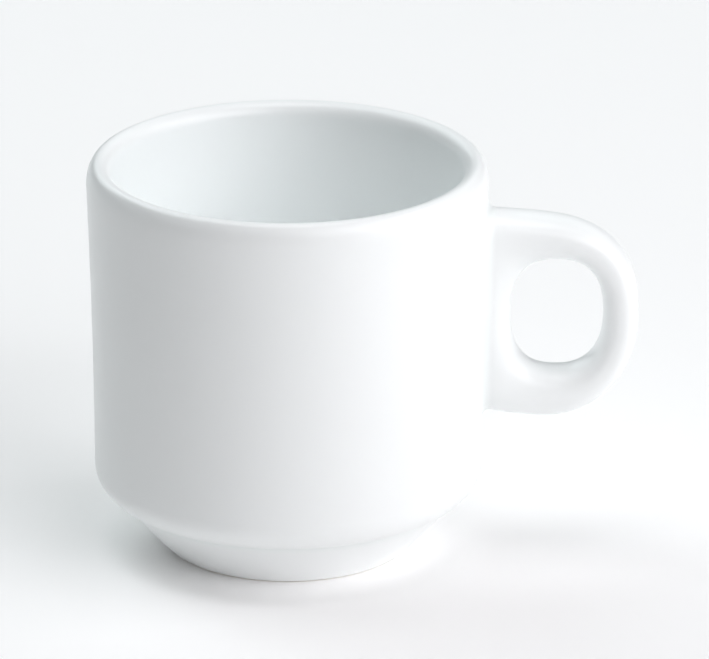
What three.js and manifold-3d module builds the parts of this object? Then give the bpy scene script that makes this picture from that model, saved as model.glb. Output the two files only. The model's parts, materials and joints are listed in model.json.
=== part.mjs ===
// Stacking mocha cup in glazed porcelain: a turned body on a tapered foot, a cast ring
// handle, and the layer of slip that joins the handle to the wall.
// Millimetres, +Z up. The cup stands on z = 0 and its handle points along +X.
// The origin is under the middle of the whole object, cup and handle together.

import * as THREE from 'three';
import { mergeVertices } from 'three/addons/utils/BufferGeometryUtils.js';
import Module from 'manifold-3d';

// Outside of the body
const CUP_HEIGHT = 62.1;
const RIM_RADIUS = 30.9; // top of the wall, where the lip starts to round over
const SHOULDER_RADIUS = 30.05; // foot of the wall, where the shoulder starts to tuck under
const SHOULDER_HEIGHT = 13.4; // height of that place above the table
const SHOULDER_ROUND_WIDTH = 5.15;
const SHOULDER_ROUND_DEPTH = 5.1;

// Lip, rounded more slowly outside than inside
const LIP_OUTER_WIDTH = 1.8;
const LIP_OUTER_DEPTH = 3.5;
const LIP_INNER_WIDTH = 2.0;
const LIP_INNER_DEPTH = 2.2;

// Foot, which drops into the mouth of the cup below when cups are stacked
const FOOT_RADIUS = 18.8;
const FOOT_EDGE_ROUND = 0.7;
const FOOT_BULGE = 0.15; // how far the side of the foot swells out of a straight cone
const FOOT_RING_WIDTH = 2.8; // the bare ring that stands on the table
const RECESS_DEPTH = 2.0; // hollow of the underside inside that ring
const RECESS_ROUND = 0.6;
const NECK_STEP = 0.2; // the top of the foot lies this far inside the shoulder round
const NECK_DEPTH = 1.8; // and this far below its lowest point
const NECK_OPENING = THREE.MathUtils.degToRad(14); // where the shoulder round takes over

// Inside of the body
const WALL_THICKNESS = 4.1; // at the foot of the wall
const FLOOR_THICKNESS = 4.3;
const FLOOR_RADIUS = 11; // flat middle of the floor
const BOWL_ROUND_HEIGHT = 13.7; // rise of the curve from the floor to the wall

// Handle: a ring of clay round a finger hole, fuller above than below, seen from the side
const HOLE_WIDTH = 14.3;
const HOLE_HEIGHT = 17.9;
const HOLE_SQUARENESS = 2.45; // 2 is an ellipse, more is squarer
const HANDLE_DROP = 0.2; // middle of the hole below the middle of the straight wall
const WEB_WIDTH = 4.0; // clay between the wall and the hole
const END_WIDTH = 5.5; // clay at the far end of the hole
const UPPER_ARM_WIDTH = 7.15; // clay above the hole
const LOWER_ARM_WIDTH = 7.65; // clay below the hole
const CREST_SHIFT = 3.5; // the arms are measured this far inward of the middle of the hole
const END_RISE = 1.05; // widest level of the outer edge above the middle of the hole
const ARM_SLOPE = 0.095; // fall of the outer edge for each millimetre outward
const UPPER_SQUARENESS = 2.65; // the upper corner of the far end is squarer
const LOWER_SQUARENESS = 2.03; // and the lower corner is round
const ROOT_THICKNESS = 9.4;
const END_THICKNESS = 8.4;
const SECTION_SQUARENESS = 2.3;

// Joint between handle and wall
const SLIP_THICKNESS = 0.6;
const SLIP_MARGIN = 0.5; // slip squeezed out all round the root of the handle
const JOINT_GAP = 0.3; // clearance on each side of the slip
const BLANK_DEPTH = 2.5; // the handle is cast this far past the wall, then scribed to it
const BLANK_SQUARENESS = 6;

// Fineness of the facets
const TURN_STEPS = 72; // round the axis of the cup
const ARC_STEPS = 4; // along each curve of the profile
const RING_STEPS = 80; // round the finger hole
const SECTION_STEPS = 24; // round the section of the handle

// Sizes that follow from those above
const wallTop = CUP_HEIGHT - LIP_OUTER_DEPTH;
const lipCrest = RIM_RADIUS - LIP_OUTER_WIDTH;
const floorHeight = RECESS_DEPTH + FLOOR_THICKNESS;
const bowlRadius = SHOULDER_RADIUS - WALL_THICKNESS;
const handleHeight = (SHOULDER_HEIGHT + CUP_HEIGHT) / 2 - HANDLE_DROP;
const wallAtHandle = wallRadius(handleHeight);
const holeMiddle = wallAtHandle + WEB_WIDTH + HOLE_WIDTH / 2;
const handleTip = holeMiddle + HOLE_WIDTH / 2 + END_WIDTH;
const slipSeat = JOINT_GAP + SLIP_THICKNESS + JOINT_GAP;

const wasm = await Module();
wasm.setup();

// Outside radius of the wall at a height: upright at the shoulder, opening towards the lip.
function wallRadius(height) {
  const rise = (height - SHOULDER_HEIGHT) / (wallTop - SHOULDER_HEIGHT);
  return SHOULDER_RADIUS + (RIM_RADIUS - SHOULDER_RADIUS) * rise * rise;
}

// Runs the path up to a rounded corner and round it, towards the next point.
function roundCorner(path, corner, next, size) {
  const back = path.currentPoint.clone().sub(corner).setLength(size).add(corner);
  const on = next.clone().sub(corner).setLength(size).add(corner);
  path.lineTo(back.x, back.y);
  path.quadraticCurveTo(corner.x, corner.y, on.x, on.y);
}

// Point where the line from p along u meets the line from q along v.
function crossing(p, u, q, v) {
  const share = q.clone().sub(p).cross(v) / u.cross(v);
  return u.clone().multiplyScalar(share).add(p);
}

// Half profile of the outside: up the foot, round the neck and shoulder, up the wall and
// over the outer half of the lip to its crest. The path arrives on the standing ring.
function drawOutside(path) {
  const middle = new THREE.Vector2(SHOULDER_RADIUS - SHOULDER_ROUND_WIDTH, SHOULDER_HEIGHT);
  const across = new THREE.Vector2(SHOULDER_ROUND_WIDTH, SHOULDER_ROUND_DEPTH);

  const footEdge = new THREE.Vector2(FOOT_RADIUS, 0);
  const neck = new THREE.Vector2(middle.x - NECK_STEP, middle.y - across.y - NECK_DEPTH);
  const chord = neck.clone().sub(footEdge);
  const outward = new THREE.Vector2(chord.y, -chord.x).setLength(2 * FOOT_BULGE);
  const swell = footEdge.clone().add(neck).multiplyScalar(0.5).add(outward);
  roundCorner(path, footEdge, swell, FOOT_EDGE_ROUND);
  path.quadraticCurveTo(swell.x, swell.y, neck.x, neck.y);

  const start = NECK_OPENING - Math.PI / 2;
  const under = new THREE.Vector2(Math.cos(start), Math.sin(start)).multiply(across).add(middle);
  const along = new THREE.Vector2(-Math.sin(start), Math.cos(start)).multiply(across);
  const crease = crossing(neck, neck.clone().sub(swell), under, along);
  path.quadraticCurveTo(crease.x, crease.y, under.x, under.y);
  path.absellipse(middle.x, middle.y, across.x, across.y, start, 0);

  const halfway = (SHOULDER_HEIGHT + wallTop) / 2;
  path.quadraticCurveTo(SHOULDER_RADIUS, halfway, RIM_RADIUS, wallTop);
  path.absellipse(lipCrest, wallTop, LIP_OUTER_WIDTH, LIP_OUTER_DEPTH, 0, Math.PI / 2);
}

// Turns a half profile (radius, height) about the axis of the cup.
function turn(path) {
  return new THREE.LatheGeometry(path.getPoints(ARC_STEPS), TURN_STEPS).rotateX(Math.PI / 2);
}

// The body: recessed underside, standing ring, outside, lip, and down inside to the floor.
function cupBody() {
  const ringInside = FOOT_RADIUS - FOOT_RING_WIDTH;
  const path = new THREE.Path();
  path.moveTo(0, RECESS_DEPTH);
  const ceiling = new THREE.Vector2(ringInside, RECESS_DEPTH);
  const ringEdge = new THREE.Vector2(ringInside, 0);
  roundCorner(path, ceiling, ringEdge, RECESS_ROUND);
  roundCorner(path, ringEdge, new THREE.Vector2(FOOT_RADIUS, 0), RECESS_ROUND);
  drawOutside(path);
  const lipInside = CUP_HEIGHT - LIP_INNER_DEPTH;
  path.absellipse(lipCrest, lipInside, LIP_INNER_WIDTH, LIP_INNER_DEPTH, Math.PI / 2, Math.PI);
  const bowlTop = floorHeight + BOWL_ROUND_HEIGHT;
  const bowlWidth = bowlRadius - FLOOR_RADIUS;
  path.absellipse(FLOOR_RADIUS, bowlTop, bowlWidth, BOWL_ROUND_HEIGHT, 0, -Math.PI / 2, true);
  path.lineTo(0, floorHeight);
  return turn(path);
}

// The space that the body fills, with its hollow closed and its outside grown by a margin.
function grownBody(margin) {
  const outside = new THREE.Path();
  outside.moveTo(FOOT_RADIUS - FOOT_RING_WIDTH, 0);
  drawOutside(outside);
  const grown = outside.getPoints(ARC_STEPS).map((p) => new THREE.Vector2(p.x + margin, p.y));
  const axis = [new THREE.Vector2(0, 0), new THREE.Vector2(0, CUP_HEIGHT)];
  return turn(new THREE.Path([axis[0], ...grown, axis[1]]));
}

// Distance from the middle of a rounded oval to its outline, in the direction of an angle.
function ovalReach(angle, halfWidth, halfHeight, squareness) {
  const across = Math.abs(Math.cos(angle) / halfWidth) ** squareness;
  const up = Math.abs(Math.sin(angle) / halfHeight) ** squareness;
  return (across + up) ** (-1 / squareness);
}

// Edge of the finger hole at an angle round it.
function holeEdge(angle, margin) {
  const halfWidth = HOLE_WIDTH / 2 - margin;
  const halfHeight = HOLE_HEIGHT / 2 - margin;
  const reach = ovalReach(angle, halfWidth, halfHeight, HOLE_SQUARENESS);
  return new THREE.Vector2(
    holeMiddle + reach * Math.cos(angle),
    handleHeight + reach * Math.sin(angle),
  );
}

// Outer edge of the handle at an angle: round at the far end, square where it enters the wall.
function handleEdge(angle, margin) {
  const crest = holeMiddle - CREST_SHIFT;
  const farSide = Math.cos(angle) > 0;
  const upper = Math.sin(angle) > 0;
  const halfWidth = farSide ? handleTip - crest : crest - wallAtHandle + BLANK_DEPTH;
  const halfHeight = HOLE_HEIGHT / 2 + (upper ? UPPER_ARM_WIDTH - END_RISE : LOWER_ARM_WIDTH + END_RISE);
  const farSquareness = upper ? UPPER_SQUARENESS : LOWER_SQUARENESS;
  const squareness = farSide ? farSquareness : BLANK_SQUARENESS;
  const reach = ovalReach(angle, halfWidth + margin, halfHeight + margin, squareness);
  const across = reach * Math.cos(angle);
  const up = reach * Math.sin(angle) - ARM_SLOPE * across;
  return new THREE.Vector2(crest + across, handleHeight + END_RISE + up);
}

// One point on the skin of the handle, at an angle round the hole and an angle round the
// section of clay, which spans from the edge of the hole to the outer edge.
function handlePoint(around, section, margin) {
  const reach = ovalReach(section, 1, 1, SECTION_SQUARENESS);
  const share = (1 + reach * Math.cos(section)) / 2;
  const place = holeEdge(around, margin).lerp(handleEdge(around, margin), share);
  const out = (place.x - wallAtHandle) / (handleTip - wallAtHandle);
  const thickness = THREE.MathUtils.lerp(ROOT_THICKNESS, END_THICKNESS, out) + 2 * margin;
  return new THREE.Vector3(place.x, (reach * Math.sin(section) * thickness) / 2, place.y);
}

// The handle as it is cast, before its root is scribed to the wall: a ring of sections
// lofted round the finger hole.
function handleBlank(margin) {
  const positions = [];
  const indices = [];
  for (let i = 0; i < RING_STEPS; i++) {
    const ring = i * SECTION_STEPS;
    const nextRing = ((i + 1) % RING_STEPS) * SECTION_STEPS;
    for (let j = 0; j < SECTION_STEPS; j++) {
      const next = (j + 1) % SECTION_STEPS;
      const around = (2 * Math.PI * i) / RING_STEPS;
      const section = (2 * Math.PI * j) / SECTION_STEPS;
      positions.push(...handlePoint(around, section, margin));
      indices.push(ring + j, ring + next, nextRing + next);
      indices.push(ring + j, nextRing + next, nextRing + j);
    }
  }
  const geometry = new THREE.BufferGeometry();
  geometry.setAttribute('position', new THREE.Float32BufferAttribute(positions, 3));
  geometry.setIndex(indices);
  return geometry;
}

// Closed geometry to solid, for cutting.
function toSolid(geometry) {
  const bare = geometry.clone();
  bare.deleteAttribute('normal');
  bare.deleteAttribute('uv');
  const merged = mergeVertices(bare);
  const vertProperties = Float32Array.from(merged.attributes.position.array);
  const triVerts = Uint32Array.from(merged.index.array);
  return new wasm.Manifold(new wasm.Mesh({ numProp: 3, vertProperties, triVerts }));
}

// Solid back to geometry.
function toGeometry(solid) {
  const mesh = solid.getMesh();
  const geometry = new THREE.BufferGeometry();
  geometry.setAttribute('position', new THREE.BufferAttribute(mesh.vertProperties, 3));
  geometry.setIndex(new THREE.BufferAttribute(mesh.triVerts, 1));
  geometry.computeVertexNormals();
  return geometry;
}

// The slip: a thin curved pad in the joint, a little larger than the root of the handle.
function lutingSlip() {
  const inside = toSolid(grownBody(JOINT_GAP));
  const outside = toSolid(grownBody(JOINT_GAP + SLIP_THICKNESS));
  const pad = toSolid(handleBlank(SLIP_MARGIN)).intersect(outside).subtract(inside);
  return toGeometry(pad);
}

// The handle, with its root scribed to the curve of the wall.
function handle() {
  const seat = toSolid(grownBody(slipSeat));
  return toGeometry(toSolid(handleBlank(0)).subtract(seat));
}

function piece(name, geometry, color, roughness) {
  const material = new THREE.MeshStandardMaterial({ color, roughness, metalness: 0 });
  const mesh = new THREE.Mesh(geometry, material);
  mesh.name = name;
  return mesh;
}

const cup = new THREE.Group();
cup.add(piece('cup_body', cupBody(), '#f3f4f4', 0.12));
cup.add(piece('luting_slip', lutingSlip(), '#eceae4', 0.6));
cup.add(piece('handle', handle(), '#f3f4f4', 0.12));
cup.position.x = (RIM_RADIUS - handleTip) / 2;

const mochaCup = new THREE.Group();
mochaCup.add(cup);

export default mochaCup;
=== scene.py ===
# %% [markdown]
# # A stacking mocha cup in white porcelain
# The cup is three things fired into one: a body formed on a turning head, a ring handle cast in
# its own mould, and the slip (liquid clay) that sticks the handle to the wall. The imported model
# already holds them as plain faceted solids at their real size. This lesson draws the smooth
# glazed surface over each of them, in the same place, and lights it like a studio photo.

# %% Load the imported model
import json
import math

import bpy
import numpy as np
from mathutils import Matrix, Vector

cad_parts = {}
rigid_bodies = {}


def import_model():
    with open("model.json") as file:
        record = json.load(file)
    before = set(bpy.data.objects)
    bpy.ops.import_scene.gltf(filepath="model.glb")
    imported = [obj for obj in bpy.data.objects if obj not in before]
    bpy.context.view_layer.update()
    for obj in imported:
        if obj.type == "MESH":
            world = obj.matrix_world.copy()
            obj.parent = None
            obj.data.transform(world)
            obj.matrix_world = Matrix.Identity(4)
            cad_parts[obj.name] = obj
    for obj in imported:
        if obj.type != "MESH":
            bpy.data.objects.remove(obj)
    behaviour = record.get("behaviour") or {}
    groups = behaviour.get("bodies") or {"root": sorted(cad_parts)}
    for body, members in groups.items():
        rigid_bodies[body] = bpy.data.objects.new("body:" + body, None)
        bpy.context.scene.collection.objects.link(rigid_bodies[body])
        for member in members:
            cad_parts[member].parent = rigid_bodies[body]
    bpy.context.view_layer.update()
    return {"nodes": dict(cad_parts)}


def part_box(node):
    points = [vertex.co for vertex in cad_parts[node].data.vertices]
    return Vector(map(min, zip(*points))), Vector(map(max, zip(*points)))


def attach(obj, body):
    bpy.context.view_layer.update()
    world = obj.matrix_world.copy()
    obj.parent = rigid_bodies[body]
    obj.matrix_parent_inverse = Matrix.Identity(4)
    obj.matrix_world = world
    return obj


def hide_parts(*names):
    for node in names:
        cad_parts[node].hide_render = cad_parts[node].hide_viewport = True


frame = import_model()
MM = 0.001
print("Solids in the frame:", ", ".join(sorted(frame["nodes"])))

# %% [markdown]
# ## The camera
# The photo was taken from about 20 degrees above the table with a long lens, square to the plane
# of the handle. Its scale, in pixels to the metre at the aim point, sets the focal length once the
# distance is chosen, so the render can be laid over the photo.

# %% Place the camera
IMAGE_WIDTH = 709
PIXELS_PER_METRE = 6474
CAMERA_DISTANCE = 1.2
CAMERA_ELEVATION = math.radians(20.26)
AIM_BESIDE_AXIS = 10.27 * MM  # towards the handle
AIM_HEIGHT = 34.46 * MM

body_low, body_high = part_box("cup_body")
AXIS_X = (body_low.x + body_high.x) / 2
aim = Vector((AXIS_X + AIM_BESIDE_AXIS, 0, AIM_HEIGHT))
backward = Vector((0, -math.cos(CAMERA_ELEVATION), math.sin(CAMERA_ELEVATION)))

camera_data = bpy.data.cameras.new("photo_camera")
camera_data.lens = camera_data.sensor_width * PIXELS_PER_METRE * CAMERA_DISTANCE / IMAGE_WIDTH
camera = bpy.data.objects.new("photo_camera", camera_data)
camera.location = aim + backward * CAMERA_DISTANCE
camera.rotation_euler = (-backward).to_track_quat("-Z", "Y").to_euler()
bpy.context.scene.collection.objects.link(camera)
bpy.context.scene.camera = camera
print(f"Cup axis at x = {AXIS_X / MM:.2f} mm, focal length {camera_data.lens:.0f} mm")

# %% [markdown]
# ## Helpers for colours and nodes
# Colours are picked on a screen, so they are written as sRGB hex values, but Blender calculates
# with linear light. Node trees, for shapes and for materials alike, are lists of nodes with
# settings and links, so one function that adds a node and one that fills its inputs serve both.

# %% Colour and node helpers
def linear(hex_colour):
    """sRGB hex, such as "#808080", to linear RGBA, by the curve of the sRGB standard."""
    parts = [int(hex_colour[i : i + 2], 16) / 255 for i in (1, 3, 5)]
    light = [c / 12.92 if c <= 0.04045 else ((c + 0.055) / 1.055) ** 2.4 for c in parts]
    return (*light, 1)


def fill(node, inputs):
    """Sets or links inputs by name or number. A node given as a value is linked by its first output."""
    for key, value in inputs.items():
        if isinstance(value, bpy.types.Node):
            value = value.outputs[0]
        if isinstance(value, bpy.types.NodeSocket):
            node.id_data.links.new(value, node.inputs[key])
        else:
            node.inputs[key].default_value = value


def add_node(tree, kind, inputs=None, **settings):
    """Adds a node, sets its properties, then fills its inputs."""
    node = tree.nodes.new(kind)
    for name, value in settings.items():
        setattr(node, name, value)
    fill(node, inputs or {})
    return node


print("A screen's middle grey in linear light:", [round(c, 3) for c in linear("#808080")])

# %% [markdown]
# ## Glazed porcelain
# Hotel porcelain is a white, slightly cool body under a clear feldspar glaze about 0.2 mm thick.
# The eye sees a bright matt white from the clay and, on top of it, the mirror of the glaze: soft
# reflections that break up a little, because molten glaze settles in shallow waves some
# millimetres wide and keeps a fine orange peel. Where it gathers in a hollow it is thicker and
# looks a shade greener. A Principled shader gives clay and mirror in one, noise in Object
# coordinates gives the waves, and a `pool` attribute on the mesh says where glaze gathers.

# %% Glazed porcelain
CLAY_COLOURS = ("#f9fbfb", "#f7f9f9")
POOL_COLOUR = "#f4f8f7"
CLOUD_WIDTH = 18 * MM  # patches where the glaze came out a touch more or less glossy
GLAZE_ROUGHNESS = (0.28, 0.34)  # a new glaze is glossier, but this melts the lights into one sheen
WAVE_WIDTH = 11 * MM
WAVE_DEPTH = 0.012 * MM
PEEL_WIDTH = 1.6 * MM  # real orange peel is nearer 0.7 mm, which would not show at this scale
PEEL_DEPTH = 0.0008 * MM
PORCELAIN_IOR = 1.5
MIX_A, MIX_B, MIX_RESULT = 6, 7, 2  # a Mix node repeats its socket names, so colours go by number


def start_material(name):
    """A new material, its node tree, its Principled shader and its Object coordinates."""
    material = bpy.data.materials.new(name)
    material.use_nodes = True
    tree = material.node_tree
    place = add_node(tree, "ShaderNodeTexCoord").outputs["Object"]
    return material, tree, tree.nodes["Principled BSDF"], place


def glazed_porcelain():
    material, tree, shader, place = start_material("glazed_porcelain")
    pool = add_node(tree, "ShaderNodeAttribute", attribute_name="pool").outputs["Fac"]
    cloud = add_node(tree, "ShaderNodeTexNoise",
                     {"Vector": place, "Scale": 1 / CLOUD_WIDTH, "Detail": 1.0})
    lighter, darker = map(linear, CLAY_COLOURS)
    clay = add_node(tree, "ShaderNodeMix",
                    {"Factor": cloud, MIX_A: lighter, MIX_B: darker}, data_type="RGBA")
    colour = add_node(tree, "ShaderNodeMix",
                      {"Factor": pool, MIX_A: clay.outputs[MIX_RESULT], MIX_B: linear(POOL_COLOUR)},
                      data_type="RGBA")
    glossy, dull = GLAZE_ROUGHNESS
    gloss = add_node(tree, "ShaderNodeMapRange", {"Value": cloud, "To Min": glossy, "To Max": dull})

    wave = add_node(tree, "ShaderNodeTexNoise",
                    {"Vector": place, "Scale": 1 / WAVE_WIDTH, "Detail": 0.0})
    peel = add_node(tree, "ShaderNodeTexNoise",
                    {"Vector": place, "Scale": 1 / PEEL_WIDTH, "Detail": 1.0})
    waves = add_node(tree, "ShaderNodeBump", {"Height": wave, "Distance": WAVE_DEPTH})
    surface = add_node(tree, "ShaderNodeBump",
                       {"Height": peel, "Distance": PEEL_DEPTH, "Normal": waves})
    fill(shader, {"Base Color": colour.outputs[MIX_RESULT], "Roughness": gloss,
                  "Normal": surface, "IOR": PORCELAIN_IOR})
    return material


GLAZE = glazed_porcelain()
print(f"{GLAZE.name}: waves {WAVE_WIDTH / MM:.0f} mm wide, {len(GLAZE.node_tree.nodes)} nodes")

# %% [markdown]
# ## Bare porcelain
# Glaze would weld the cup to the kiln shelf, so the ring that it stands on is wiped clean before
# firing. Bare porcelain is a little warmer than the glazed clay, matt, and finely granular to the
# touch, and its high spots are polished by use. One noise drives all three: the colour, the grain
# in the bump and the polish.

# %% Bare porcelain
GRIT_WIDTH = 0.35 * MM
GRIT_DEPTH = 0.01 * MM
GRIT_COLOURS = ("#e2ded4", "#f0ece4")  # of the hollows and of the high spots
GRIT_ROUGHNESS = (0.7, 0.5)


def bare_porcelain():
    material, tree, shader, place = start_material("bare_ground_porcelain")
    grit = add_node(tree, "ShaderNodeTexNoise",
                    {"Vector": place, "Scale": 1 / GRIT_WIDTH, "Detail": 2.0})
    hollow, high = map(linear, GRIT_COLOURS)
    colour = add_node(tree, "ShaderNodeMix",
                      {"Factor": grit, MIX_A: hollow, MIX_B: high}, data_type="RGBA")
    matt, polished = GRIT_ROUGHNESS
    worn = add_node(tree, "ShaderNodeMapRange", {"Value": grit, "To Min": matt, "To Max": polished})
    bump = add_node(tree, "ShaderNodeBump", {"Height": grit, "Distance": GRIT_DEPTH})
    fill(shader, {"Base Color": colour.outputs[MIX_RESULT], "Roughness": worn,
                  "Normal": bump, "IOR": PORCELAIN_IOR})
    return material


BARE = bare_porcelain()
print(f"{BARE.name}: grit {GRIT_WIDTH / MM:.2f} mm wide")

# %% [markdown]
# ## The section of the body
# A potter's template for a cup is half of its section: from the middle of the underside out to
# the standing ring, up the tapered foot, in at the neck where the foot meets the rounded
# shoulder, up the wall, over the lip, and down inside to the floor. It is drawn here as arcs and
# bends between a few named sizes, as (distance from the axis, height). The height and the radius
# of the rim come from the frame.

# %% Tools for drawing the section
def arc(middle, across, up, start, end, steps):
    """Points on part of an ellipse, from one angle in degrees to another."""
    angle = np.radians(np.linspace(start, end, steps + 1))
    return np.stack([middle[0] + across * np.cos(angle), middle[1] + up * np.sin(angle)], axis=1)


def bend(start, corner, end, steps):
    """Points on a curve that leaves start towards corner and arrives at end from corner."""
    t = np.linspace(0, 1, steps + 1)[:, None]
    start, corner, end = map(np.asarray, (start, corner, end))
    return (1 - t) ** 2 * start + 2 * t * (1 - t) * corner + t**2 * end


def line(start, end, steps):
    """Points on a straight line."""
    return np.linspace(start, end, steps + 1)


def towards(start, end, distance):
    """The point that lies a distance from start, in the direction of end."""
    step = np.subtract(end, start)
    return np.add(start, step * distance / np.hypot(*step))


print("A quarter round of 1 mm in 2 steps:", arc((0, 0), 1, 1, 0, 90, 2).round(2).tolist())

# %% Outside: standing ring, foot, neck, shoulder, wall and half of the lip
CUP_HEIGHT = body_high.z
RIM_RADIUS = (body_high.y - body_low.y) / 2
SHOULDER_RADIUS = 30.05 * MM
SHOULDER_HEIGHT = 13.4 * MM
SHOULDER_ROUND = (5.15 * MM, 5.1 * MM)  # across, up
LIP_OUTER = (1.8 * MM, 3.5 * MM)
FOOT_RADIUS = 18.8 * MM
FOOT_EDGE = 0.7 * MM
FOOT_BULGE = 0.15 * MM
NECK_STEP = 0.2 * MM
NECK_DEPTH = 1.8 * MM
NECK_OPENING = 14  # degrees of the shoulder round that the neck takes
WALL_TOP = CUP_HEIGHT - LIP_OUTER[1]
EDGE_STEPS, FOOT_STEPS, NECK_STEPS = 6, 18, 12  # steps of the mesh along each stretch
SHOULDER_STEPS, WALL_STEPS, LIP_STEPS = 24, 30, 16

shoulder_middle = (SHOULDER_RADIUS - SHOULDER_ROUND[0], SHOULDER_HEIGHT)
foot_edge = np.array([FOOT_RADIUS, 0])
neck = np.subtract(shoulder_middle, (NECK_STEP, SHOULDER_ROUND[1] + NECK_DEPTH))
outward = np.array([neck[1], foot_edge[0] - neck[0]]) / np.hypot(*(neck - foot_edge))
swell = (foot_edge + neck) / 2 + 2 * FOOT_BULGE * outward  # a bend goes half as far as its corner
shoulder = arc(shoulder_middle, *SHOULDER_ROUND, NECK_OPENING - 90, 0, SHOULDER_STEPS)

# The crease of the neck lies where the foot's last direction meets the shoulder's first one.
foot_way = neck - swell
shoulder_way = shoulder[1] - shoulder[0]
share = np.linalg.solve(np.stack([foot_way, -shoulder_way], axis=1), shoulder[0] - neck)[0]
crease = neck + share * foot_way

foot_start = towards(foot_edge, swell, FOOT_EDGE)
wall_corner = (SHOULDER_RADIUS, (SHOULDER_HEIGHT + WALL_TOP) / 2)
lip_middle = (RIM_RADIUS - LIP_OUTER[0], WALL_TOP)
outside = [
    bend(towards(foot_edge, (0, 0), FOOT_EDGE), foot_edge, foot_start, EDGE_STEPS),
    bend(foot_start, swell, neck, FOOT_STEPS),
    bend(neck, crease, shoulder[0], NECK_STEPS),
    shoulder,
    bend(shoulder[-1], wall_corner, (RIM_RADIUS, WALL_TOP), WALL_STEPS),
    arc(lip_middle, *LIP_OUTER, 0, 90, LIP_STEPS),
]
print(f"Neck crease at radius {crease[0] / MM:.2f} mm, height {crease[1] / MM:.2f} mm")

# %% Inside: the other half of the lip, the inner wall, the bowl and the floor
LIP_INNER = (2.0 * MM, 2.2 * MM)
WALL_THICKNESS = 4.1 * MM
FLOOR_THICKNESS = 4.3 * MM
FLOOR_RADIUS = 11 * MM
BOWL_RISE = 13.7 * MM
RECESS_DEPTH = 2.0 * MM
INNER_WALL_STEPS, BOWL_STEPS, FLOOR_STEPS = 24, 32, 8

floor_height = RECESS_DEPTH + FLOOR_THICKNESS
bowl_radius = SHOULDER_RADIUS - WALL_THICKNESS
bowl_middle = (FLOOR_RADIUS, floor_height + BOWL_RISE)
lip_inside = arc((lip_middle[0], CUP_HEIGHT - LIP_INNER[1]), *LIP_INNER, 90, 180, LIP_STEPS)
bowl = arc(bowl_middle, bowl_radius - FLOOR_RADIUS, BOWL_RISE, 0, -90, BOWL_STEPS)
fall = np.linspace(0, 1, INNER_WALL_STEPS + 1)[:, None]
ease = fall**2 * (3 - 2 * fall)  # no slope at its ends, so the wall leaves lip and bowl upright
inner_wall = lip_inside[-1] + (bowl[0] - lip_inside[-1]) * np.hstack([ease, fall])
inside = [lip_inside, inner_wall, bowl, line(bowl[-1], (0, floor_height), FLOOR_STEPS)]
print(f"Floor {floor_height / MM:.1f} mm up, bowl {bowl_radius / MM:.2f} mm in radius")

# %% Underside, and the whole section in one line
RECESS_EDGE = 0.6 * MM
RING_WIDTH = 2.8 * MM
CEILING_STEPS, RECESS_STEPS, FLAT_STEPS = 10, 2, 3

ceiling = np.array([FOOT_RADIUS - RING_WIDTH, RECESS_DEPTH])
ring_edge = np.array([FOOT_RADIUS - RING_WIDTH, 0])
recess_start = towards(ceiling, (0, RECESS_DEPTH), RECESS_EDGE)
recess_wall = towards(ceiling, ring_edge, RECESS_EDGE)
ring_start = towards(ring_edge, ceiling, RECESS_EDGE)
ring_flat = towards(ring_edge, foot_edge, RECESS_EDGE)
underside = [
    line((0, RECESS_DEPTH), recess_start, CEILING_STEPS),
    bend(recess_start, ceiling, recess_wall, EDGE_STEPS),
    line(recess_wall, ring_start, RECESS_STEPS),
    bend(ring_start, ring_edge, ring_flat, EDGE_STEPS),
    line(ring_flat, outside[0][0], FLAT_STEPS),
]

# Each stretch starts where the one before ends, so every end but the last is left out.
section = np.concatenate([part[:-1] for part in underside + outside + inside] + [inside[-1][-1:]])
print(f"The section has {len(section)} points")

# %% [markdown]
# ## Turning the body with Geometry Nodes
# A body of revolution could come from the Screw modifier or from bpy.ops.mesh.spin. Geometry
# Nodes do it here, because the tree keeps its sizes as named inputs, welds the seam and the two
# poles itself, sorts the bare standing ring from the glazed rest, and stores where glaze pools.
# A flat grid gives one column of points for each step of the turn. Each grid point then looks up
# its point of the section by number and swings it round the axis.

# %% The tree and its inputs
WHEEL_INPUTS = {
    "Section": "NodeSocketGeometry",
    "Turn steps": "NodeSocketInt",
    "Axis X": "NodeSocketFloat",
    "Weld distance": "NodeSocketFloat",
    "Bare height": "NodeSocketFloat",
    "Pool height": "NodeSocketFloat",
    "Pool reach": "NodeSocketFloat",
    "Pool inside radius": "NodeSocketFloat",
    "Glaze": "NodeSocketMaterial",
    "Bare": "NodeSocketMaterial",
}
WHEEL = bpy.data.node_groups.new("turn_on_the_wheel", "GeometryNodeTree")
for name, kind in WHEEL_INPUTS.items():
    WHEEL.interface.new_socket(name, in_out="INPUT", socket_type=kind)
WHEEL.interface.new_socket("Body", in_out="OUTPUT", socket_type="NodeSocketGeometry")
given = add_node(WHEEL, "NodeGroupInput").outputs
axis = add_node(WHEEL, "ShaderNodeCombineXYZ", {"X": given["Axis X"]})
print(f"{WHEEL.name} takes:", ", ".join(WHEEL_INPUTS))

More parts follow.
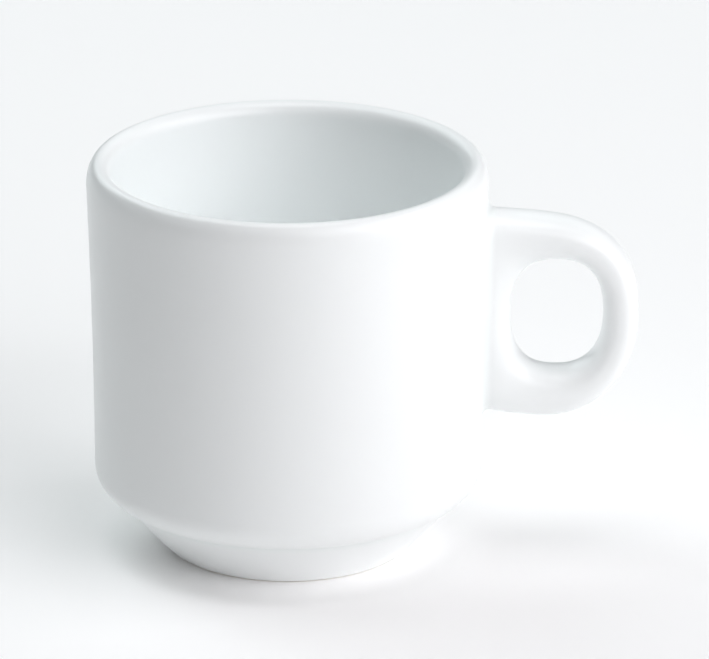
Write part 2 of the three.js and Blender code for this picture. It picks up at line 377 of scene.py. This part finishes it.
# %% Swing the section round the axis
def turned_section():
    """Nodes that make the whole skin of the body, welded and smooth."""
    # Number of section points, and a grid with one column of them for each step and the seam.
    count = add_node(WHEEL, "GeometryNodeAttributeDomainSize", {"Geometry": given["Section"]})
    columns = add_node(WHEEL, "ShaderNodeMath", {0: given["Turn steps"], 1: 1.0}, operation="ADD")
    grid = add_node(WHEEL, "GeometryNodeMeshGrid", {"Vertices X": columns, "Vertices Y": count})

    # Which step of the turn a grid point belongs to, and which point of the section it is.
    index = add_node(WHEEL, "GeometryNodeInputIndex")
    row = add_node(WHEEL, "ShaderNodeMath", {0: index, 1: count}, operation="MODULO")
    before = add_node(WHEEL, "ShaderNodeMath", {0: index, 1: row}, operation="SUBTRACT")
    column = add_node(WHEEL, "ShaderNodeMath", {0: before, 1: count}, operation="DIVIDE")
    turns = add_node(WHEEL, "ShaderNodeMath", {0: column, 1: given["Turn steps"]}, operation="DIVIDE")
    angle = add_node(WHEEL, "ShaderNodeMath", {0: turns, 1: math.tau}, operation="MULTIPLY")

    # That point of the section, swung round the axis.
    drawn = add_node(WHEEL, "GeometryNodeInputPosition")
    point = add_node(WHEEL, "GeometryNodeSampleIndex",
                     {"Geometry": given["Section"], "Value": drawn, "Index": row},
                     data_type="FLOAT_VECTOR", domain="POINT")
    swung = add_node(WHEEL, "ShaderNodeVectorRotate",
                     {"Vector": point, "Angle": angle}, rotation_type="Z_AXIS")
    place = add_node(WHEEL, "ShaderNodeVectorMath", {0: swung, 1: axis}, operation="ADD")
    turned = add_node(WHEEL, "GeometryNodeSetPosition", {"Geometry": grid, "Position": place})
    welded = add_node(WHEEL, "GeometryNodeMergeByDistance",
                      {"Geometry": turned, "Distance": given["Weld distance"]})
    return add_node(WHEEL, "GeometryNodeSetShadeSmooth", {"Geometry": welded})


smooth = turned_section()
print(f"{len(WHEEL.nodes)} nodes up to the smooth turned section")

# %% [markdown]
# ## Two finishes on one body
# Molten glaze creeps into the crease of the neck and lies thicker there, and the ring that the cup
# stands on has none. Both could be painted by hand, but they follow from a point's height and its
# distance from the axis. So the tree works them out: a share called `pool`, which the glaze
# material reads, and a choice of the lowest faces, which get the bare material.

# %% Store where glaze pools
position = add_node(WHEEL, "GeometryNodeInputPosition")
level = add_node(WHEEL, "ShaderNodeSeparateXYZ", {0: position}).outputs["Z"]


def glaze_pool():
    """The share of a full pool: 1 at the height of the crease, 0 out of its reach and inside."""
    from_axis = add_node(WHEEL, "ShaderNodeVectorMath", {0: position, 1: axis}, operation="SUBTRACT")
    flat = add_node(WHEEL, "ShaderNodeVectorMath", {0: from_axis, 1: (1, 1, 0)}, operation="MULTIPLY")
    radius = add_node(WHEEL, "ShaderNodeVectorMath", {0: flat}, operation="LENGTH").outputs["Value"]
    outer = add_node(WHEEL, "ShaderNodeMath",
                     {0: radius, 1: given["Pool inside radius"]}, operation="GREATER_THAN")
    apart = add_node(WHEEL, "ShaderNodeMath", {0: level, 1: given["Pool height"]}, operation="SUBTRACT")
    away = add_node(WHEEL, "ShaderNodeMath", {0: apart}, operation="ABSOLUTE")
    near = add_node(WHEEL, "ShaderNodeMapRange",
                    {"Value": away, "From Min": given["Pool reach"], "From Max": 0.0},
                    interpolation_type="SMOOTHSTEP")
    return add_node(WHEEL, "ShaderNodeMath", {0: near, 1: outer}, operation="MULTIPLY")


stored = add_node(WHEEL, "GeometryNodeStoreNamedAttribute",
                  {"Geometry": smooth, "Name": "pool", "Value": glaze_pool()},
                  data_type="FLOAT", domain="POINT")
print(f"{len(WHEEL.nodes)} nodes up to the stored pool")

# %% Glaze all of it, apart from the lowest band
plain = add_node(WHEEL, "GeometryNodeRealizeInstances", {"Geometry": stored})
glazed = add_node(WHEEL, "GeometryNodeSetMaterial", {"Geometry": plain, "Material": given["Glaze"]})
low = add_node(WHEEL, "ShaderNodeMath", {0: level, 1: given["Bare height"]}, operation="LESS_THAN")
wiped = add_node(WHEEL, "GeometryNodeSetMaterial",
                 {"Geometry": glazed, "Selection": low, "Material": given["Bare"]})
add_node(WHEEL, "NodeGroupOutput", {"Body": wiped})
print(f"{WHEEL.name}: {len(WHEEL.nodes)} nodes in all")

# %% Turn the section into the body
WHEEL_VALUES = {
    "Turn steps": 256,
    "Axis X": AXIS_X,
    "Weld distance": 0.001 * MM,
    "Bare height": 0.12 * MM,
    "Pool height": float(crease[1]),
    "Pool reach": 1.6 * MM,
    "Pool inside radius": 22 * MM,
    "Glaze": GLAZE,
    "Bare": BARE,
}


def link_object(name, mesh):
    piece = bpy.data.objects.new(name, mesh)
    bpy.context.scene.collection.objects.link(piece)
    return piece


def turn_body():
    drawing = bpy.data.meshes.new("body_section")
    points = [(radius, 0, height) for radius, height in section]
    drawing.from_pydata(points, [(i, i + 1) for i in range(len(points) - 1)], [])
    body = link_object("turned_body", drawing)
    modifier = body.modifiers.new("turn", "NODES")
    modifier.node_group = WHEEL
    for socket in WHEEL.interface.items_tree:
        if socket.name in WHEEL_VALUES:
            modifier[socket.identifier] = WHEEL_VALUES[socket.name]
    graph = bpy.context.evaluated_depsgraph_get()
    finished = bpy.data.meshes.new_from_object(body.evaluated_get(graph))
    finished.materials.pop(index=0)  # the empty slot that every grid starts with
    body.modifiers.clear()
    body.data = finished
    finished.name = body.name
    return body


body = turn_body()
print(f"turned_body: {len(body.data.vertices)} points, {len(body.data.polygons)} faces,",
      "materials", [m.name for m in body.data.materials])

# %% [markdown]
# ## The skin of the handle
# The ring handle is a band of clay between the oval finger hole and an outer edge that is squarer
# above than below. Both outlines are rounded ovals (superellipses), so a skin point follows from
# two angles: one round the hole, one round the section of clay. A subdivision cage could copy
# this, but the formula keeps the edges exactly where the frame has them, at any fineness.

# %% Outlines of the handle
HOLE_WIDTH = 14.3 * MM
HOLE_HEIGHT = 17.9 * MM
HOLE_SQUARENESS = 2.45  # 2 is an ellipse, more is squarer
HANDLE_DROP = 0.2 * MM
END_WIDTH = 5.5 * MM
UPPER_ARM = 7.15 * MM
LOWER_ARM = 7.65 * MM
CREST_SHIFT = 3.5 * MM
END_RISE = 1.05 * MM
ARM_SLOPE = 0.095
UPPER_SQUARENESS = 2.65
LOWER_SQUARENESS = 2.03
BLANK_DEPTH = 2.5 * MM  # the handle is cast this far past the wall
BLANK_SQUARENESS = 6


def wall_radius(height):
    """Outer radius of the wall, which stands upright on the shoulder and flares towards the rim."""
    rise = (height - SHOULDER_HEIGHT) / (WALL_TOP - SHOULDER_HEIGHT)
    return SHOULDER_RADIUS + (RIM_RADIUS - SHOULDER_RADIUS) * rise**2


handle_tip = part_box("handle")[1].x - AXIS_X
handle_height = (SHOULDER_HEIGHT + CUP_HEIGHT) / 2 - HANDLE_DROP
wall_at_handle = wall_radius(handle_height)
hole_middle = handle_tip - END_WIDTH - HOLE_WIDTH / 2
crest = hole_middle - CREST_SHIFT


def oval_reach(angle, half_width, half_height, squareness):
    """How far a rounded oval reaches from its middle in the direction of an angle."""
    across = np.abs(np.cos(angle) / half_width) ** squareness
    up = np.abs(np.sin(angle) / half_height) ** squareness
    return (across + up) ** (-1 / squareness)


def hole_edge(angle):
    reach = oval_reach(angle, HOLE_WIDTH / 2, HOLE_HEIGHT / 2, HOLE_SQUARENESS)
    return hole_middle + reach * np.cos(angle), handle_height + reach * np.sin(angle)


def outer_edge(angle):
    far, upper = np.cos(angle) > 0, np.sin(angle) > 0
    half_width = np.where(far, handle_tip - crest, crest - wall_at_handle + BLANK_DEPTH)
    half_height = HOLE_HEIGHT / 2 + np.where(upper, UPPER_ARM - END_RISE, LOWER_ARM + END_RISE)
    far_squareness = np.where(upper, UPPER_SQUARENESS, LOWER_SQUARENESS)
    squareness = np.where(far, far_squareness, BLANK_SQUARENESS)
    reach = oval_reach(angle, half_width, half_height, squareness)
    across = reach * np.cos(angle)
    return crest + across, handle_height + END_RISE + reach * np.sin(angle) - ARM_SLOPE * across


print(f"Finger hole {hole_middle / MM:.2f} mm from the axis, {handle_height / MM:.2f} mm up")

# %% Skin between the outlines
ROOT_THICKNESS = 9.4 * MM
END_THICKNESS = 8.4 * MM
SECTION_SQUARENESS = 2.3


def handle_skin(around, round_section):
    """Points on the skin, with the axis of the cup as x = 0."""
    reach = oval_reach(round_section, 1, 1, SECTION_SQUARENESS)
    share = (1 + reach * np.cos(round_section)) / 2
    (hole_x, hole_z), (edge_x, edge_z) = hole_edge(around), outer_edge(around)
    x = hole_x + (edge_x - hole_x) * share
    z = hole_z + (edge_z - hole_z) * share
    out = (x - wall_at_handle) / (handle_tip - wall_at_handle)
    thickness = ROOT_THICKNESS + (END_THICKNESS - ROOT_THICKNESS) * out
    return np.stack([x, reach * np.sin(round_section) * thickness / 2, z], axis=-1)


print("Far end of the skin in mm:", (handle_skin(0.0, 0.0) / MM).round(2).tolist())

# %% [markdown]
# ## Where the handle meets the wall
# The skin dives into the wall along a curved line. To leave a clean edge for the fillet, the mesh
# of the handle needs rows of points that follow that line. The grid of the skin is kept away from
# the wall, and the patch near the wall is redrawn: straight rays run from the middle of the root
# out to the border of the patch, and a bisection finds where each one stands a given distance off
# the wall.

# %% Rays across the root of the handle
RING_STEPS = 240
SECTION_STEPS = 96
PATCH_RING = 54  # steps from the middle of the patch to its border, round the hole
PATCH_SECTION = 34  # and round the section
BISECTIONS = 40


def wall_distance(points):
    return np.hypot(points[..., 0], points[..., 1]) - wall_radius(points[..., 2])


def patch_border():
    """Steps (round the hole, round the section) along the border, from one corner all the way round."""
    a, b = PATCH_RING, PATCH_SECTION
    up = [(a, j) for j in range(-b, b)]
    back = [(i, b) for i in range(a, -a, -1)]
    down = [(-a, j) for j in range(b, -b, -1)]
    forth = [(i, -b) for i in range(-a, a)]
    return np.array(up + back + down + forth)


border = patch_border()
RAY_COUNT = len(border)


def skin_angles(ring, turn):
    """Angles for steps round the hole, counted from the side of the wall, and round the section."""
    return math.pi + ring * math.tau / RING_STEPS, turn * math.tau / SECTION_STEPS


def ray_angles(share):
    """Angles at a share of the way from the middle of the root to the border, for each ray."""
    return skin_angles(share * border[:, 0], share * border[:, 1])


def ray_points(share):
    """Skin points at that share of the way."""
    return handle_skin(*ray_angles(share))


def share_at(distance):
    """For each ray, the share of the way at which the skin stands that far off the wall."""
    near, far = np.zeros(RAY_COUNT), np.ones(RAY_COUNT)
    for _ in range(BISECTIONS):
        middle = (near + far) / 2
        outside_it = wall_distance(ray_points(middle)) > distance
        near, far = np.where(outside_it, near, middle), np.where(outside_it, middle, far)
    return far


border_distance = wall_distance(ray_points(1.0)).min()
print(f"{RAY_COUNT} rays, border {border_distance / MM:.2f} mm or more off the wall")

# %% Mesh of the handle
FILLET = 1.6 * MM  # how far it climbs the handle, measured off the wall
ROOT_DEPTH = 0.8 * MM  # the root ends this far inside the wall
PATCH_ROWS = 14


def band(first, second):
    """Four-sided faces between two closed loops with the same number of points."""
    return np.stack([first, np.roll(first, -1), np.roll(second, -1), second], axis=1).tolist()


def make_piece(name, points, faces, pool):
    """A smooth mesh object from points about the axis of the cup, with its pool attribute."""
    mesh = bpy.data.meshes.new(name)
    mesh.from_pydata((points + [AXIS_X, 0, 0]).tolist(), [], faces)
    mesh.materials.append(GLAZE)
    mesh.polygons.foreach_set("use_smooth", [True] * len(mesh.polygons))
    mesh.attributes.new("pool", "FLOAT", "POINT").data.foreach_set("value", pool)
    return link_object(name, mesh)


def handle_mesh():
    # The grid of the skin, with a hole for the patch near the wall.
    ring, turn = np.meshgrid(np.arange(RING_STEPS), np.arange(SECTION_STEPS), indexing="ij")
    grid = handle_skin(*skin_angles(ring, turn))
    number = np.arange(ring.size).reshape(ring.shape)
    next_ring, next_turn = np.roll(number, -1, axis=0), np.roll(number, -1, axis=1)
    next_both = np.roll(next_ring, -1, axis=1)
    quads = np.stack([number, next_ring, next_both, next_turn], axis=-1)
    near_ring = (ring + PATCH_RING) % RING_STEPS < 2 * PATCH_RING
    near_section = (turn + PATCH_SECTION) % SECTION_STEPS < 2 * PATCH_SECTION
    faces = quads[~(near_ring & near_section)].tolist()

    # Rows from the border of the patch to the edge of the fillet, then on into the wall.
    root = share_at(FILLET)
    shares = [1 + (root - 1) * k / PATCH_ROWS for k in range(1, PATCH_ROWS + 1)]
    shares += [share_at(distance) for distance in (FILLET / 2, 0.0, -ROOT_DEPTH)]
    rows = [ray_points(share) for share in shares]
    loops = number.size + np.arange(len(rows) * RAY_COUNT).reshape(len(rows), RAY_COUNT)
    outer = number[border[:, 0] % RING_STEPS, border[:, 1] % SECTION_STEPS]
    for inner in loops:
        faces += band(outer, inner)
        outer = inner

    # A fan of triangles closes the root.
    points = np.concatenate([grid.reshape(-1, 3), *rows, rows[-1].mean(axis=0)[None]])
    middle = np.full(RAY_COUNT, len(points) - 1)
    faces += np.stack([outer, np.roll(outer, -1), middle], axis=1).tolist()
    return points, faces


def without_spare_points(points, faces):
    """The same faces on only the points that they use."""
    used = np.unique(np.concatenate(faces))
    renumber = np.zeros(len(points), int)
    renumber[used] = np.arange(len(used))
    return points[used], [renumber[face].tolist() for face in faces]


points, faces = without_spare_points(*handle_mesh())
handle = make_piece("ring_handle", points, faces, np.zeros(len(points)))
print(f"ring_handle: {len(handle.data.vertices)} points, {len(handle.data.polygons)} faces")

# %% [markdown]
# ## The fillet of slip
# The slip that squeezes out of the joint is sponged to a small hollow fillet, so the glaze runs
# from wall to handle with no crease. A bevel on a boolean cut would leave ragged shading here.
# The fillet is drawn as its own ring instead: at each ray it leaves the handle along the handle's
# skin, arrives along the wall, and is a quarter bend between the two.

# %% Directions on the wall and on the skin
LITTLE_RISE = 1e-6  # metres
LITTLE_TURN = 1e-5  # radians


def unit(vectors):
    return vectors / np.linalg.norm(vectors, axis=-1, keepdims=True)


def along(vectors, normals):
    """The part of each vector that lies along a surface with these normals."""
    return vectors - (vectors * normals).sum(axis=1, keepdims=True) * normals


def wall_normal(points):
    height = points[:, 2]
    wider = wall_radius(height + LITTLE_RISE) - wall_radius(height - LITTLE_RISE)
    lean = wider / (2 * LITTLE_RISE)
    return unit(unit(points * [1, 1, 0]) - lean[:, None] * [0, 0, 1])


def skin_normal(share):
    around, turn = ray_angles(share)
    onward = handle_skin(around + LITTLE_TURN, turn) - handle_skin(around - LITTLE_TURN, turn)
    across = handle_skin(around, turn + LITTLE_TURN) - handle_skin(around, turn - LITTLE_TURN)
    return unit(np.cross(across, onward))


print("The wall faces", wall_normal(ray_points(1.0))[0].round(3).tolist(), "at the first ray")

# %% Mesh of the fillet
FILLET_STEPS = 12
CORNER_ROUNDS = 4
ROUND_HANDLE = 0.552  # length of a curve's handles that makes a quarter bend round
BURIED = 0.05 * MM


def fillet_rows():
    share = share_at(FILLET)
    top = ray_points(share)
    skin = skin_normal(share)

    # The corner to fill lies straight down the skin from the top, where that way meets the wall.
    down = -unit(along(wall_normal(top), skin))
    corner = top
    for _ in range(CORNER_ROUNDS):
        steepness = (wall_normal(corner) * down).sum(axis=1, keepdims=True)
        corner = corner - wall_distance(corner)[:, None] / steepness * down

    # The toe lies on the wall, as far from the corner as the top is.
    leg = np.linalg.norm(corner - top, axis=1, keepdims=True)
    toe = corner + leg * unit(along(skin, wall_normal(corner)))
    toe = toe - wall_distance(toe)[:, None] * wall_normal(toe)
    wall = wall_normal(toe)

    # A cubic curve runs from top to toe, and three buried rows close the ring behind it.
    first = top + ROUND_HANDLE * (corner - top)
    second = toe + ROUND_HANDLE * along(corner - toe, wall)
    rows = []
    for t in np.linspace(0, 1, FILLET_STEPS + 1):
        rows.append((1 - t) ** 3 * top + 3 * t * (1 - t) ** 2 * first
                    + 3 * t**2 * (1 - t) * second + t**3 * toe)
    return rows + [toe - BURIED * wall, corner - BURIED * (wall + skin), top - BURIED * skin]


rows = fillet_rows()
loops = np.arange(len(rows) * RAY_COUNT).reshape(len(rows), RAY_COUNT)
faces = [face for loop, after in zip(loops, np.roll(loops, -1, axis=0)) for face in band(loop, after)]
hollow = [math.sin(math.pi * min(r / FILLET_STEPS, 1)) for r in range(len(rows))]
fillet = make_piece("slip_fillet", np.concatenate(rows), faces, np.repeat(hollow, RAY_COUNT))

# The shading breaks along top and toe, where the buried rows begin.
for edge in fillet.data.edges:
    row, other_row = (number // RAY_COUNT for number in edge.vertices)
    edge.use_edge_sharp = row == other_row and row in (0, FILLET_STEPS)
print(f"slip_fillet: {RAY_COUNT} steps round the root, {len(fillet.data.polygons)} faces")

# %% [markdown]
# ## Faces outward, and into the frame
# A closed mesh with its faces turned in has a negative volume, so that is measured, and the
# faces are flipped where it is. Then the solid of the frame that each piece stands for is hidden,
# and the piece is attached to the body it moves with.

# %% Check the meshes and hand them to the frame
CUBIC_CM = (10 * MM) ** 3


def face_outward(piece):
    """Flips the faces if they look inward, and returns the volume."""
    mesh = piece.data
    mesh.calc_loop_triangles()
    corners = np.array([mesh.vertices[v].co for t in mesh.loop_triangles for v in t.vertices])
    a, b, c = corners.reshape(-1, 3, 3).transpose(1, 0, 2)
    volume = (a * np.cross(b, c)).sum() / 6
    if volume < 0:
        mesh.flip_normals()
    return abs(volume)


PIECES = [
    (body, "cup_body", "glazed_body"),
    (handle, "handle", "glazed_handle"),
    (fillet, "luting_slip", "porcelain_slip"),
]
for piece, node, slot in PIECES:
    volume = face_outward(piece)
    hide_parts(node)
    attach(piece, "root")
    print(f"{piece.name} stands for {node}: {volume / CUBIC_CM:.2f} cubic cm")

# %% [markdown]
# ## The floor
# The photo shows the cup on plain white. A board with matt white paint gives that: it has no
# mirror image, and the eye reads it as a surface by the soft shadow round the foot. It also glows
# very faintly, like a light table, so that it stays pale where the cup takes the light away.

# %% Floor
FLOOR_SIZE = 8.0
FLOOR_GLOW = 0.045
PAINT_COLOURS = ("#fbfafa", "#fcfbfb")
PAINT_ROUGHNESS = 0.9
PAINT_MIRROR = 0.1  # a smooth coat has 0.5
MOTTLE_WIDTH = 6 * MM


def painted_board():
    """Matt white paint on board: bright, with only the faintest mottle of the roller."""
    material, tree, shader, place = start_material("matt_painted_board")
    mottle = add_node(tree, "ShaderNodeTexNoise", {"Vector": place, "Scale": 1 / MOTTLE_WIDTH})
    thin, thick = map(linear, PAINT_COLOURS)
    colour = add_node(tree, "ShaderNodeMix",
                      {"Factor": mottle, MIX_A: thin, MIX_B: thick}, data_type="RGBA")
    fill(shader, {"Base Color": colour.outputs[MIX_RESULT], "Roughness": PAINT_ROUGHNESS,
                  "Specular IOR Level": PAINT_MIRROR,
                  "Emission Color": linear("#ffffff"), "Emission Strength": FLOOR_GLOW})
    return material


half = FLOOR_SIZE / 2
floor_mesh = bpy.data.meshes.new("studio_floor")
floor_mesh.from_pydata([(-half, -half, 0), (half, -half, 0), (half, half, 0), (-half, half, 0)],
                       [], [(0, 1, 2, 3)])
floor_mesh.materials.append(painted_board())
floor = link_object("studio_floor", floor_mesh)
print("Floor laid at the height of the standing ring")

# %% [markdown]
# ## The light
# The right side of the cup is almost white and its left side a cool grey. So wide soft light comes
# from the right, with weaker fill from behind, from the left and from above. Equal soft boxes on
# a dome are easy to tune, because the picture is simply the sum of what each box adds. The key is
# a touch warmer than the fill, which leaves the shaded side slightly cool, and the room is dark.
# White clay passes light on from wall to wall inside the bowl. After the usual 4 diffuse bounces
# much of it is still on its way and would be lost, so more bounces are allowed.

# %% Lights
BOX_SIDE = 0.75
BOX_DISTANCE = 1.4
KEY_COLOUR = "#fdfcfe"
FILL_COLOUR = "#f2fbfc"
LIGHT_BANKS = [
    # name, azimuths of its soft boxes and their elevation in degrees, watts of each box, colour
    ("key_bank", (30, 60, 90), 32, 4.5, KEY_COLOUR),
    ("low_key", (60,), 8, 4.2, KEY_COLOUR),
    ("back_bank", (150, 180), 32, 1.0, FILL_COLOUR),
    ("back_left", (210,), 32, 3.8, FILL_COLOUR),
    ("high_left", (240,), 58, 5.1, FILL_COLOUR),
    ("overhead", (0,), 88, 5.4, KEY_COLOUR),
]
DIFFUSE_BOUNCES = 12


def add_light(name, azimuth, elevation, watts, colour):
    """A square soft box that faces the cup. Azimuth 0 is towards the camera, 90 is to the right."""
    turn, rise = math.radians(azimuth), math.radians(elevation)
    way = Vector((math.sin(turn) * math.cos(rise), -math.cos(turn) * math.cos(rise), math.sin(rise)))
    data = bpy.data.lights.new(name, "AREA")
    data.size = BOX_SIDE
    data.energy = watts
    data.color = linear(colour)[:3]
    light = bpy.data.objects.new(name, data)
    light.location = aim + way * BOX_DISTANCE
    light.rotation_euler = (-way).to_track_quat("-Z", "Y").to_euler()
    light.visible_camera = False
    bpy.context.scene.collection.objects.link(light)


for name, azimuths, elevation, watts, colour in LIGHT_BANKS:
    for azimuth in azimuths:
        add_light(f"{name}_{azimuth}", azimuth, elevation, watts, colour)
world = bpy.data.worlds.new("dark_studio")
world.use_nodes = True
world.node_tree.nodes["Background"].inputs["Strength"].default_value = 0.0
bpy.context.scene.world = world
bpy.context.scene.cycles.diffuse_bounces = DIFFUSE_BOUNCES
bpy.context.scene.view_settings.view_transform = "Standard"
box_count = sum(len(azimuths) for _, azimuths, *_ in LIGHT_BANKS)
print(f"{len(LIGHT_BANKS)} banks of soft boxes, {box_count} boxes in all")
